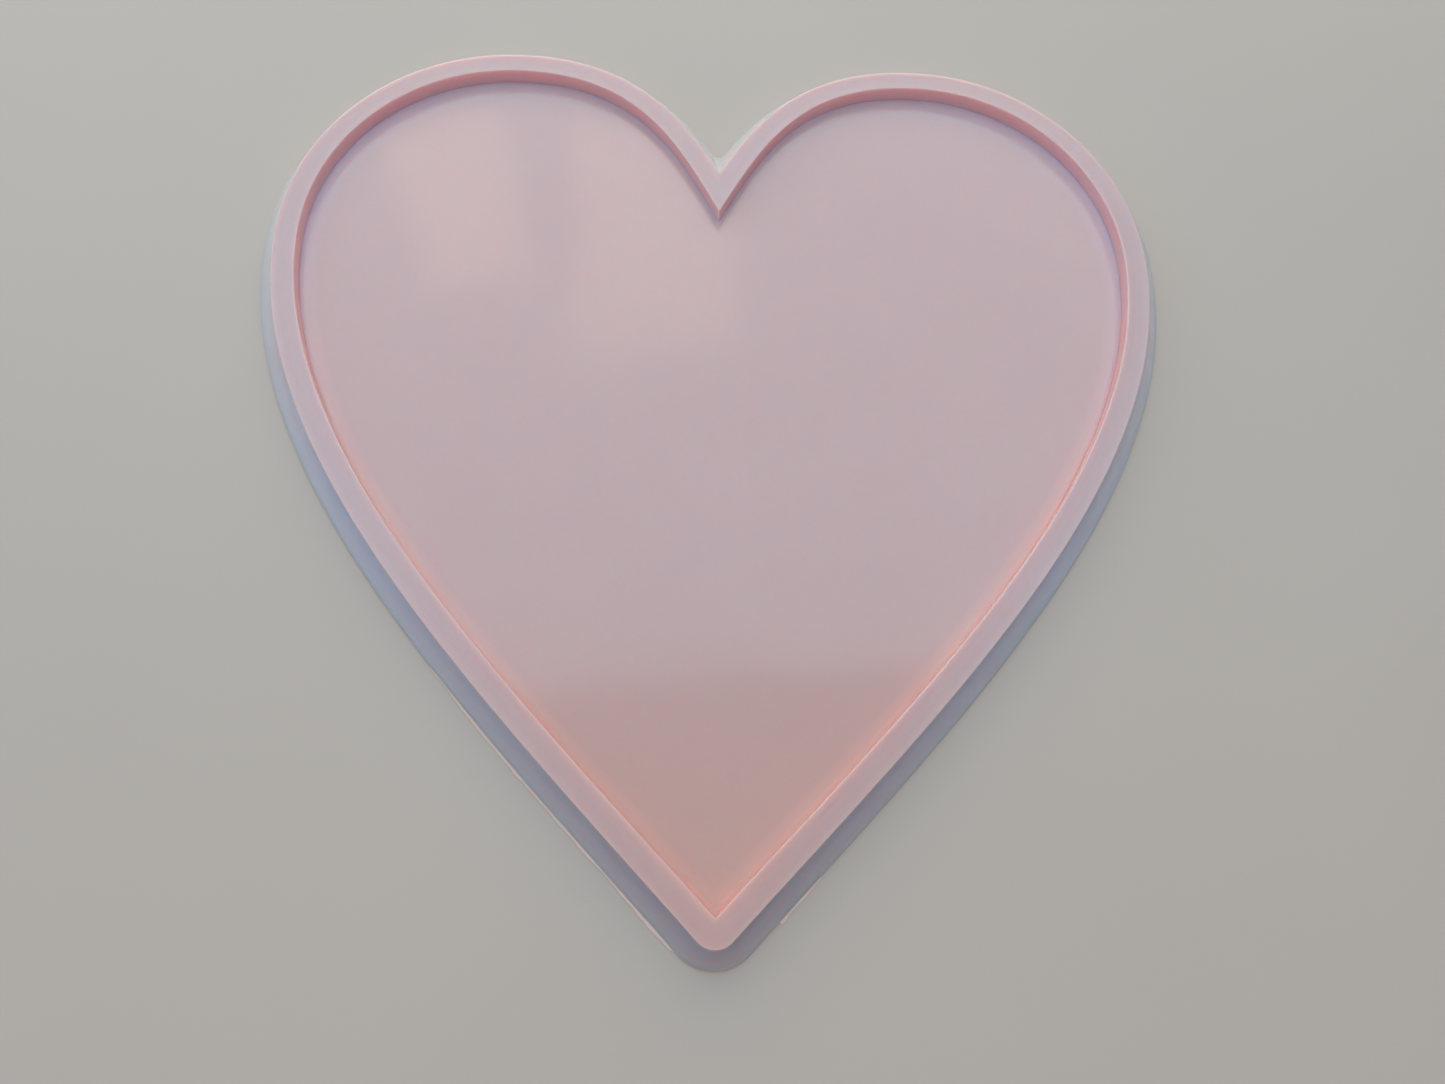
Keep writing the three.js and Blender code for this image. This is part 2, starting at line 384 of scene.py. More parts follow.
def cast_silicone():
    material, tree = new_material("platinum silicone, cast")
    place = add(tree, "ShaderNodeTexCoord").outputs["Object"]
    polish = add(tree, "ShaderNodeAttribute", attribute_name="polish").outputs["Fac"]
    lavender = add(tree, "ShaderNodeAttribute", attribute_name="lavender").outputs["Fac"]
    rosy = add(tree, "ShaderNodeAttribute", attribute_name="rosy").outputs["Fac"]
    _, y, _ = add(tree, "ShaderNodeSeparateXYZ", {0: place}).outputs
    towards_tip = add(tree, "ShaderNodeMapRange", {0: y, 1: LOBES_END, 2: SIDES_START})
    at_tip = add(tree, "ShaderNodeMapRange", {0: y, 1: SIDES_END, 2: TIP_START})

    # Painted light at the wall and the corner: the wall gets a painted rosy glow, the corner under
    # the lobes' wall a painted lavender shade, and towards the tip both get a painted orange glow.
    shaded = add(tree, "ShaderNodeMix", {
        0: polish, 6: colour("#E6B8BC"), 7: colour("#CEBAD1"),
    }, data_type="RGBA")
    corner = add(tree, "ShaderNodeMix", {
        0: towards_tip, 6: shaded.outputs[2], 7: colour("#FCBAB0"),
    }, data_type="RGBA")
    # Painted light and shade on the skirt: lighter and pinker on the lobes, which face the light,
    # cool lavender along the sides, and greyer and darker at the tip, which lies in shade.
    skirt = add(tree, "ShaderNodeMix", {
        0: towards_tip, 6: colour("#DDCAC7"), 7: colour("#B9BCD2"),
    }, data_type="RGBA")
    skirt = add(tree, "ShaderNodeMix", {
        0: at_tip, 6: skirt.outputs[2], 7: colour("#A5A2B3"),
    }, data_type="RGBA")

    clouds = add(tree, "ShaderNodeTexNoise", {"Vector": place, "Scale": 1 / CLOUD, "Detail": 2})
    tint = add(tree, "ShaderNodeMix", {
        0: clouds, 6: colour("#C4A6A8"), 7: colour("#C8AAAC"),
    }, data_type="RGBA")
    # Painted glow: the floor's tint turns warmer towards the tip.
    tint = add(tree, "ShaderNodeMix", {
        0: at_tip, 6: tint.outputs[2], 7: colour("#CAA59F"),
    }, data_type="RGBA")
    # Painted shade: the rim's tint shifts a little along the mould and turns darker and warmer at
    # the tip.
    rim = add(tree, "ShaderNodeMix", {
        0: towards_tip, 6: colour("#C0A9AE"), 7: colour("#C1ABB1"),
    }, data_type="RGBA")
    rim = add(tree, "ShaderNodeMix", {
        0: at_tip, 6: rim.outputs[2], 7: colour("#C1A2A1"),
    }, data_type="RGBA")
    off_floor = add(tree, "ShaderNodeMapRange", {0: polish, 1: POLISHED, 2: SATIN})
    tint = add(tree, "ShaderNodeMix", {
        0: off_floor, 6: tint.outputs[2], 7: rim.outputs[2],
    }, data_type="RGBA")
    tint = add(tree, "ShaderNodeMix", {
        0: lavender, 6: tint.outputs[2], 7: skirt.outputs[2],
    }, data_type="RGBA")
    tint = add(tree, "ShaderNodeMix", {
        0: rosy, 6: tint.outputs[2], 7: corner.outputs[2],
    }, data_type="RGBA")

    handled = add(tree, "ShaderNodeTexNoise", {
        "Vector": place, "Scale": 1 / FINGER_MARK, "Detail": 4,
    })
    dull = add(tree, "ShaderNodeMapRange", {0: polish, 3: ROUGH_MATT, 4: ROUGH_GLOSSY})
    uneven = add(tree, "ShaderNodeMapRange", {0: handled, 3: -ROUGH_SPREAD, 4: ROUGH_SPREAD})
    rough = add(tree, "ShaderNodeMath", {0: dull, 1: uneven}, operation="ADD")

    flat_place = add(tree, "ShaderNodeMapping", {"Vector": place, "Scale": (1, 1, RIB_SQUEEZE)})
    ribs = add(tree, "ShaderNodeTexNoise", {
        "Vector": flat_place, "Scale": 1 / RIB_WIDTH, "Detail": 2,
    })
    matt = add(tree, "ShaderNodeMath", {0: 1, 1: polish}, operation="SUBTRACT")
    rib_bump = add(tree, "ShaderNodeBump", {
        "Strength": matt, "Distance": RIB_DEPTH, "Height": ribs,
    })
    swells = add(tree, "ShaderNodeTexNoise", {
        "Vector": place, "Scale": 1 / SWELL_LENGTH, "Detail": 1,
    })
    swell_bump = add(tree, "ShaderNodeBump", {
        "Strength": polish, "Distance": SWELL_HEIGHT, "Height": swells, "Normal": rib_bump,
    })

    skin = add(tree, "ShaderNodeBsdfPrincipled", {
        "Base Color": tint.outputs[2],
        "Roughness": rough,
        "IOR": SILICONE_IOR,
        "Subsurface Weight": 1,
        "Subsurface Radius": SCATTER_RADIUS,
        "Subsurface Scale": SCATTER_REACH,
        "Normal": swell_bump,
    })
    add(tree, "ShaderNodeOutputMaterial", {"Surface": skin})
    return material


silicone = cast_silicone()
print("made", silicone.name)

# %% [markdown]
# ## The mould body
# The body is the section swept along the outline. Blender's own Curve to Mesh could sweep it, but a
# sweep folds over itself at the sharp notch, where the two lobes run into each other. So the tree
# starts from a grid, one row for each ring, and puts every point in place itself. For each ring it
# first finds where the moved outline meets the middle line, by halving a span again and again in a
# repeat zone. Then it turns the first points round the notch, spreads the next ones to the end of
# the side and turns the rest round the tip. The half is mirrored and the seams are merged, so the
# body is closed.

# %% Tree for the body
HALVINGS = 22
NOTCH_SEARCH_END = 0.25
WELD = 0.002 * MM


def curve_point(tree, outline, share):
    """The point on the outline at a share of its length, and the outward direction there."""
    sample = add(tree, "GeometryNodeSampleCurve", {
        "Curves": outline, "Factor": share,
    }, mode="FACTOR")
    outward = add(tree, "ShaderNodeVectorRotate", {
        "Vector": sample.outputs["Tangent"], "Angle": math.pi / 2,
    }, rotation_type="Z_AXIS")
    return sample.outputs["Position"], outward.outputs[0]


def moved_out(tree, point, outward, distance):
    step = add(tree, "ShaderNodeVectorMath", {0: outward, "Scale": distance}, operation="SCALE")
    return add(tree, "ShaderNodeVectorMath", {0: point, 1: step}, operation="ADD").outputs[0]


def notch_share(tree, outline, distance):
    """The share at which the outline, moved out by a distance, crosses the middle line."""
    start = add(tree, "GeometryNodeRepeatInput", {"Iterations": HALVINGS})
    end = add(tree, "GeometryNodeRepeatOutput")
    start.pair_with_output(end)
    end.repeat_items.clear()
    for name in ("Before", "After"):
        end.repeat_items.new("FLOAT", name)
    start.inputs["Before"].default_value = 0
    start.inputs["After"].default_value = NOTCH_SEARCH_END
    before, after = start.outputs["Before"], start.outputs["After"]
    middle = add(tree, "ShaderNodeMath", {0: before, 1: after, 2: 0.5}, operation="ADD")
    middle = add(tree, "ShaderNodeMath", {0: middle, 1: 0.5}, operation="MULTIPLY").outputs[0]
    point = moved_out(tree, *curve_point(tree, outline, middle), distance)
    across = add(tree, "ShaderNodeSeparateXYZ", {0: point}).outputs["X"]
    crossed = add(tree, "FunctionNodeCompare", {0: across, 1: 0.0}, operation="GREATER_THAN")
    new_before = add(tree, "GeometryNodeSwitch", {
        0: crossed, 1: middle, 2: before,
    }, input_type="FLOAT")
    new_after = add(tree, "GeometryNodeSwitch", {
        0: crossed, 1: after, 2: middle,
    }, input_type="FLOAT")
    tree.links.new(new_before.outputs[0], end.inputs["Before"])
    tree.links.new(new_after.outputs[0], end.inputs["After"])
    return end.outputs["After"]


def mirrored(tree, half):
    """The half and its mirror image, joined along the middle line."""
    place = add(tree, "GeometryNodeInputPosition")
    flipped = add(tree, "ShaderNodeVectorMath", {0: place, 1: (-1, 1, 1)}, operation="MULTIPLY")
    other = add(tree, "GeometryNodeSetPosition", {"Geometry": half, "Position": flipped})
    other = add(tree, "GeometryNodeFlipFaces", {0: other})
    both = add(tree, "GeometryNodeJoinGeometry")
    tree.links.new(half, both.inputs[0])
    tree.links.new(other.outputs[0], both.inputs[0])
    return add(tree, "GeometryNodeMergeByDistance", {"Geometry": both, "Distance": WELD}).outputs[0]


def finished(tree, geometry, material, sharp_angle=30):
    """Smooth shading with sharp edges kept, then the two nodes that every tree ends in."""
    angle = add(tree, "GeometryNodeInputMeshEdgeAngle").outputs["Unsigned Angle"]
    smooth = add(tree, "FunctionNodeCompare", {
        0: angle, 1: math.radians(sharp_angle),
    }, operation="LESS_THAN")
    shaded = add(tree, "GeometryNodeSetShadeSmooth", {
        "Geometry": geometry, "Shade Smooth": smooth,
    }, domain="EDGE")
    real = add(tree, "GeometryNodeRealizeInstances", {0: shaded})
    painted = add(tree, "GeometryNodeSetMaterial", {"Geometry": real, "Material": material})
    add(tree, "NodeGroupOutput", {0: painted})


def body_tree():
    tree, given = new_tree(
        "cast body", Outline="Object", Section="Object", Steps_Round_Notch="Int",
        Steps_Along_Side="Int", Steps_Round_Tip="Int", Tip_Radius="Float", Tip_Turn="Float",
        Wander_Length="Float", Seed="Float", Material="Material",
    )
    outline = add(tree, "GeometryNodeObjectInfo", {"Object": given["Outline"]}).outputs["Geometry"]
    section = add(tree, "GeometryNodeObjectInfo", {"Object": given["Section"]}).outputs["Geometry"]
    side, tip = given["Steps Along Side"], given["Steps Round Tip"]
    notch = given["Steps Round Notch"]

    ring_count = add(tree, "GeometryNodeAttributeDomainSize", {0: section}).outputs["Point Count"]
    side_end = add(tree, "FunctionNodeIntegerMath", {0: notch, 1: side}, operation="ADD").outputs[0]
    places = add(tree, "FunctionNodeIntegerMath", {0: side_end, 1: tip}, operation="ADD")
    places = add(tree, "FunctionNodeIntegerMath", {0: places, 1: 1}, operation="ADD").outputs[0]
    grid = add(tree, "GeometryNodeMeshGrid", {"Vertices X": ring_count, "Vertices Y": places})
    index = add(tree, "GeometryNodeInputIndex")
    row = add(tree, "FunctionNodeIntegerMath", {0: index, 1: places}, operation="DIVIDE_FLOOR")
    place = add(tree, "FunctionNodeIntegerMath", {0: index, 1: places}, operation="MODULO")
    place = place.outputs[0]

    def on_ring(name):
        carried = add(tree, "GeometryNodeInputNamedAttribute", {"Name": name}, data_type="FLOAT")
        return add(tree, "GeometryNodeSampleIndex", {
            "Geometry": section, "Value": carried, "Index": row,
        }, data_type="FLOAT").outputs[0]

    numbers = add(tree, "GeometryNodeSampleIndex", {
        "Geometry": section, "Value": add(tree, "GeometryNodeInputPosition"), "Index": row,
    }, data_type="FLOAT_VECTOR")
    offset, height, inward = add(tree, "ShaderNodeSeparateXYZ", {0: numbers}).outputs
    distance = add(tree, "ShaderNodeMath", {0: offset, 1: given["Tip Radius"]}, operation="ADD")
    distance = distance.outputs[0]
    blunt, tip_radius = on_ring("notch round"), on_ring("tip round")
    beyond = add(tree, "ShaderNodeMath", {0: distance, 1: blunt}, operation="ADD").outputs[0]

    first = notch_share(tree, outline, beyond)
    share = add(tree, "ShaderNodeMapRange", {0: place, 1: notch, 2: side_end, 3: first, 4: 1.0})
    point, outward = curve_point(tree, outline, share)
    out_x, out_y, _ = add(tree, "ShaderNodeSeparateXYZ", {0: outward}).outputs
    in_x = add(tree, "ShaderNodeMath", {0: 0.0, 1: out_x}, operation="SUBTRACT")
    full_turn = add(tree, "ShaderNodeMath", {0: in_x, 1: out_y}, operation="ARCTAN2")
    notch_turn = add(tree, "ShaderNodeMapRange", {0: place, 1: 0.0, 2: notch, 3: full_turn, 4: 0.0})
    towards_notch = add(tree, "ShaderNodeVectorRotate", {
        "Vector": outward, "Angle": notch_turn,
    }, rotation_type="Z_AXIS", invert=True)
    notch_middle = moved_out(tree, point, outward, beyond)
    back = add(tree, "ShaderNodeMath", {0: 0.0, 1: blunt}, operation="SUBTRACT")
    side_point = moved_out(tree, notch_middle, towards_notch.outputs[0], back)

    past = add(tree, "FunctionNodeIntegerMath", {0: place, 1: side_end}, operation="SUBTRACT")
    tip_turn = add(tree, "ShaderNodeMapRange", {
        0: past, 1: 0.0, 2: tip, 3: 0.0, 4: given["Tip Turn"],
    })
    towards_tip = add(tree, "ShaderNodeVectorRotate", {
        "Vector": outward, "Angle": tip_turn,
    }, rotation_type="Z_AXIS", invert=True)
    tighter = add(tree, "ShaderNodeMath", {0: distance, 1: tip_radius}, operation="SUBTRACT")
    slope = add(tree, "ShaderNodeMath", {0: given["Tip Turn"]}, operation="COSINE")
    lowered = add(tree, "ShaderNodeMath", {0: tighter, 1: slope}, operation="DIVIDE")
    lowered = add(tree, "ShaderNodeCombineXYZ", {"Y": lowered})
    tip_middle = add(tree, "ShaderNodeVectorMath", {0: point, 1: lowered}, operation="SUBTRACT")
    tip_point = moved_out(tree, tip_middle, towards_tip.outputs[0], tip_radius)
    at_tip = add(tree, "FunctionNodeCompare", {
        2: place, 3: side_end,
    }, data_type="INT", operation="GREATER_EQUAL")
    rim_point = add(tree, "GeometryNodeSwitch", {
        0: at_tip, 1: side_point, 2: tip_point,
    }, input_type="VECTOR")

    x, y, _ = add(tree, "ShaderNodeSeparateXYZ", {0: rim_point}).outputs
    right_of_middle = add(tree, "ShaderNodeMath", {0: x, 1: 0.0}, operation="MAXIMUM")
    kept = add(tree, "ShaderNodeMath", {0: 1.0, 1: inward}, operation="SUBTRACT")
    drawn_x = add(tree, "ShaderNodeMath", {0: right_of_middle, 1: kept}, operation="MULTIPLY")
    drawn_y = add(tree, "ShaderNodeMath", {0: y, 1: kept}, operation="MULTIPLY")
    target = add(tree, "ShaderNodeCombineXYZ", {"X": drawn_x, "Y": drawn_y, "Z": height})
    half = add(tree, "GeometryNodeSetPosition", {"Geometry": grid, "Position": target})
    for name in CARRIED:
        half = add(tree, "GeometryNodeStoreNamedAttribute", {
            "Geometry": half, "Name": name, "Value": on_ring(name),
        }, data_type="FLOAT", domain="POINT")
    whole = mirrored(tree, half.outputs[0])

    where = add(tree, "GeometryNodeInputPosition")
    per_length = add(tree, "ShaderNodeMath", {
        0: 1.0, 1: given["Wander Length"],
    }, operation="DIVIDE")
    noise = add(tree, "ShaderNodeTexNoise", {
        "Vector": where, "W": given["Seed"], "Scale": per_length, "Detail": 3,
    }, noise_dimensions="4D")
    amount = add(tree, "GeometryNodeInputNamedAttribute", {"Name": "wander"}, data_type="FLOAT")
    pull = add(tree, "ShaderNodeMath", {0: noise, 1: amount}, operation="MULTIPLY")
    pull = add(tree, "ShaderNodeMath", {0: pull, 1: -MM}, operation="MULTIPLY")
    level = add(tree, "ShaderNodeVectorMath", {0: where, 1: (1, 1, 0)}, operation="MULTIPLY")
    radial = add(tree, "ShaderNodeVectorMath", {0: level}, operation="NORMALIZE")
    shift = add(tree, "ShaderNodeVectorMath", {0: radial, "Scale": pull}, operation="SCALE")
    uneven = add(tree, "GeometryNodeSetPosition", {"Geometry": whole, "Offset": shift})
    finished(tree, uneven, given["Material"])
    return tree


body = grown(
    "mould_body_cast", body_tree(), Outline=half_heart, Section=wall_section,
    Steps_Round_Notch=6, Steps_Along_Side=230, Steps_Round_Tip=14, Tip_Radius=TIP_RADIUS * MM,
    Tip_Turn=math.pi / 2 - TIP_ANGLE, Wander_Length=22 * MM, Seed=3.0, Material=silicone,
)

# %% [markdown]
# ## Is it closed, and does it face outwards?
# An edge that doesn't join exactly two faces is open, so a count of those answers the first. A
# signed volume answers the second: it is positive when the faces of a closed mesh point outwards.
# The grid may wind either way round, so the script looks, and turns the faces when it has to.

# %% Check the winding
import bmesh


def outwards(piece):
    work = bmesh.new()
    work.from_mesh(piece.data)
    if work.calc_volume(signed=True) < 0:
        bmesh.ops.reverse_faces(work, faces=work.faces)
        work.to_mesh(piece.data)
    open_edges = sum(not edge.is_manifold for edge in work.edges)
    volume = work.calc_volume(signed=True) / MM**3 / 1000
    work.free()
    print(f"{piece.name}: {volume:.2f} cm3, {open_edges} open edges")


outwards(body)
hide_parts("mould_body")
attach(body, "root")

# %% [markdown]
# ## Material: the torn feather
# Where silicone crept under the frame it set as a skin a few tenths of a millimetre thick, and was
# torn off by hand. It is the same silicone, but so thin that light comes straight back out of it,
# so it looks paler and pinker than the skirt behind it, and its torn surface is dull.

# %% Torn silicone
FIBRE_WIDTH, FIBRE_DEPTH = 1.2 * MM, 0.1 * MM
FEATHER_REACH = SCATTER_REACH / 30


def torn_silicone():
    material, tree = new_material("platinum silicone, torn thin")
    place = add(tree, "ShaderNodeTexCoord").outputs["Object"]
    fibres = add(tree, "ShaderNodeTexNoise", {
        "Vector": place, "Scale": 1 / FIBRE_WIDTH, "Detail": 3,
    })
    tint = add(tree, "ShaderNodeMix", {
        0: fibres, 6: colour("#D2BAB6"), 7: colour("#DCC8C4"),
    }, data_type="RGBA")
    rough = add(tree, "ShaderNodeMapRange", {0: fibres, 3: 0.4, 4: 0.6})
    bump = add(tree, "ShaderNodeBump", {
        "Strength": 0.5, "Distance": FIBRE_DEPTH, "Height": fibres,
    })
    skin = add(tree, "ShaderNodeBsdfPrincipled", {
        "Base Color": tint.outputs[2],
        "Roughness": rough,
        "IOR": SILICONE_IOR,
        "Subsurface Weight": 1,
        "Subsurface Radius": SCATTER_RADIUS,
        "Subsurface Scale": FEATHER_REACH,
        "Normal": bump,
    })
    add(tree, "ShaderNodeOutputMaterial", {"Surface": skin})
    return material


feather = torn_silicone()
print("made", feather.name)

# %% [markdown]
# ## Flash strips
# Flash follows the foot of the skirt and ends in a torn edge. It is grown the same way as the body:
# a grid whose rows are the corners of a thin wedge, laid along part of the outline. The rows are
# the root's foot, the root's top, the torn edge's top, the torn edge's foot, and the root's foot
# again. The root is seated half a millimetre inside the body. How far the edge reaches comes from a
# short list read along the strip, and fine noise tears it. Both ends shrink to a point, which
# closes the strip without end caps.

# %% Tree for a strip of flash
FLASH_REACH = 0.9
FLASH_ROOT = 0.5
FLASH_TIP = 0.2
FLASH_SEAT = 0.5
WEDGE_ROWS = 5
TORN_BACK = 0.45
END_TAPER = 0.02


def point_list(name, values):
    """Loose points that carry a list of numbers into a tree."""
    data = bpy.data.meshes.new(name)
    data.from_pydata([(value, 0, 0) for value in values], [], [])
    holder = bpy.data.objects.new(name, data)
    bpy.context.collection.objects.link(holder)
    return holder


def flash_tree():
    tree, given = new_tree(
        "torn flash", Outline="Object", Reach_List="Object", Start="Float", End="Float",
        Side="Float", Steps="Int", Seat_Offset="Float", Reach="Float", Root_Height="Float",
        Edge_Height="Float", Tear_Length="Float", Seed="Float", Material="Material",
    )
    outline = add(tree, "GeometryNodeObjectInfo", {"Object": given["Outline"]}).outputs["Geometry"]
    reaches = add(tree, "GeometryNodeObjectInfo", {"Object": given["Reach List"]})
    reaches = reaches.outputs["Geometry"]
    places = add(tree, "FunctionNodeIntegerMath", {0: given["Steps"], 1: 1}, operation="ADD")
    places = places.outputs[0]
    grid = add(tree, "GeometryNodeMeshGrid", {"Vertices X": WEDGE_ROWS, "Vertices Y": places})
    index = add(tree, "GeometryNodeInputIndex")
    row = add(tree, "FunctionNodeIntegerMath", {0: index, 1: places}, operation="DIVIDE_FLOOR")
    row = row.outputs[0]
    place = add(tree, "FunctionNodeIntegerMath", {0: index, 1: places}, operation="MODULO")
    along = add(tree, "ShaderNodeMath", {0: place, 1: given["Steps"]}, operation="DIVIDE")
    along = along.outputs[0]

    share = add(tree, "ShaderNodeMapRange", {0: along, 3: given["Start"], 4: given["End"]})
    point, outward = curve_point(tree, outline, share)

    count = add(tree, "GeometryNodeAttributeDomainSize", {0: reaches}).outputs["Point Count"]
    last = add(tree, "ShaderNodeMath", {0: count, 1: 1.0}, operation="SUBTRACT")
    spot = add(tree, "ShaderNodeMath", {0: along, 1: last}, operation="MULTIPLY").outputs[0]
    between = add(tree, "ShaderNodeMath", {0: spot}, operation="FRACT")
    nearest = add(tree, "ShaderNodeMath", {0: spot}, operation="FLOOR").outputs[0]
    following = add(tree, "ShaderNodeMath", {0: nearest, 1: 1.0}, operation="ADD")
    value = add(tree, "ShaderNodeSeparateXYZ", {0: add(tree, "GeometryNodeInputPosition")})
    value = value.outputs["X"]
    reach_here, reach_next = (
        add(tree, "GeometryNodeSampleIndex", {
            "Geometry": reaches, "Value": value, "Index": at,
        }, data_type="FLOAT", clamp=True)
        for at in (nearest, following)
    )
    listed = add(tree, "ShaderNodeMix", {
        0: between, 2: reach_here, 3: reach_next,
    }, data_type="FLOAT")

    per_length = add(tree, "ShaderNodeMath", {0: 1.0, 1: given["Tear Length"]}, operation="DIVIDE")
    noise = add(tree, "ShaderNodeTexNoise", {
        "Vector": point, "W": given["Seed"], "Scale": per_length, "Detail": 4,
    }, noise_dimensions="4D")
    torn = add(tree, "ShaderNodeMapRange", {0: noise, 1: 0.3, 2: 0.6, 3: TORN_BACK, 4: 1.0})
    ends = add(tree, "ShaderNodeMath", {0: along, 1: 0.5}, operation="SUBTRACT")
    ends = add(tree, "ShaderNodeMath", {0: ends}, operation="ABSOLUTE")
    fullness = add(tree, "ShaderNodeMapRange", {
        0: ends, 1: 0.5, 2: 0.5 - END_TAPER, 3: 0.0, 4: 1.0,
    }).outputs[0]

    past_root = add(tree, "FunctionNodeCompare", {0: row, 1: 1.5}, operation="GREATER_THAN")
    before_last = add(tree, "FunctionNodeCompare", {0: row, 1: 3.5}, operation="LESS_THAN")
    outer = add(tree, "ShaderNodeMath", {0: past_root, 1: before_last}, operation="MULTIPLY")
    outer = outer.outputs[0]
    reach = add(tree, "ShaderNodeMath", {0: given["Reach"], 1: listed}, operation="MULTIPLY")
    reach = add(tree, "ShaderNodeMath", {0: reach, 1: torn}, operation="MULTIPLY")
    reach = add(tree, "ShaderNodeMath", {0: reach, 1: fullness}, operation="MULTIPLY")
    reach = add(tree, "ShaderNodeMath", {0: reach, 1: outer}, operation="MULTIPLY")
    seat = add(tree, "ShaderNodeMath", {0: outer, 1: FLASH_SEAT * MM}, operation="MULTIPLY")
    seat = add(tree, "ShaderNodeMath", {0: seat, 1: fullness}, operation="MULTIPLY")
    seat = add(tree, "ShaderNodeMath", {0: seat, 1: -FLASH_SEAT * MM}, operation="ADD")
    distance = add(tree, "ShaderNodeMath", {0: given["Seat Offset"], 1: reach}, operation="ADD")
    distance = add(tree, "ShaderNodeMath", {0: distance, 1: seat}, operation="ADD").outputs[0]
    edge = moved_out(tree, point, outward, distance)

    is_root_top = add(tree, "FunctionNodeCompare", {0: row, 1: 1.0}, operation="EQUAL")
    is_edge_top = add(tree, "FunctionNodeCompare", {0: row, 1: 2.0}, operation="EQUAL")
    root_top = add(tree, "ShaderNodeMath", {
        0: is_root_top, 1: given["Root Height"],
    }, operation="MULTIPLY")
    edge_top = add(tree, "ShaderNodeMath", {
        0: is_edge_top, 1: given["Edge Height"],
    }, operation="MULTIPLY")
    height = add(tree, "ShaderNodeMath", {0: root_top, 1: edge_top}, operation="ADD")
    height = add(tree, "ShaderNodeMath", {0: height, 1: fullness}, operation="MULTIPLY")
    x, y, _ = add(tree, "ShaderNodeSeparateXYZ", {0: edge}).outputs
    sided = add(tree, "ShaderNodeMath", {0: x, 1: given["Side"]}, operation="MULTIPLY")
    target = add(tree, "ShaderNodeCombineXYZ", {"X": sided, "Y": y, "Z": height})
    strip = add(tree, "GeometryNodeSetPosition", {"Geometry": grid, "Position": target})
    closed = add(tree, "GeometryNodeMergeByDistance", {"Geometry": strip, "Distance": WELD / 2})
    finished(tree, closed, given["Material"], sharp_angle=50)
    return tree


flash_recipe = flash_tree()
# Side, first and last share of the outline, steps, and the reach along the strip.
STRIPS = {
    "left": (-1.0, 0.774, 1.0, 420, (0.3, 0.5, 0.7, 0.9, 1, 0.9, 0.95, 0.6, 0.85, 1, 0.9)),
    "right": (1.0, 0.94, 0.976, 80, (0.7, 1, 0.8, 1)),
}
for side_name, (side, start, end, steps, reach_shares) in STRIPS.items():
    reach_list = point_list("reach list", reach_shares)
    strip = grown(
        f"flash_{side_name}_torn", flash_recipe, Outline=half_heart, Reach_List=reach_list,
        Start=start, End=end, Side=side, Steps=steps,
        Seat_Offset=(TIP_RADIUS + BASE_OFFSET) * MM, Reach=FLASH_REACH * MM,
        Root_Height=FLASH_ROOT * MM, Edge_Height=FLASH_TIP * MM, Tear_Length=9 * MM,
        Seed=5.0, Material=feather,
    )
    bpy.data.objects.remove(reach_list)
    outwards(strip)
    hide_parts(f"flash_{side_name}")
    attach(strip, "root")

# %% [markdown]
# ## Nibs on the lip
# A cured mould is trimmed with scissors where silicone crept over the edge of the master, and small
# nibs stay behind on the lip. They sit where the real ones do, so their places are listed, as a
# side, a share of the outline and a size in millimetres. A short stretch on the left is ragged all
# along, which a seeded random list gives. The tree puts one small flake on each place.

# %% Nib places
NIB_RADIUS = 0.5 * MM
NIB_SHAPE = (1, 0.6, 0.25)
NIB_OVERHANG = 0.1
NIB_SINK = 0.2
NIBS = [
    (-1, 0.416, 0.9), (-1, 0.557, 1.2), (1, 0.443, 0.7), (1, 0.408, 0.6), (1, 0.368, 0.6),
    (-1, 0.052, 0.5), (1, 0.061, 0.6), (-1, 0.637, 0.8), (-1, 0.569, 0.7),
]
dice = random.Random(11)
for _ in range(34):
    NIBS.append((-1, dice.uniform(0.53, 0.66), dice.uniform(0.25, 0.55)))


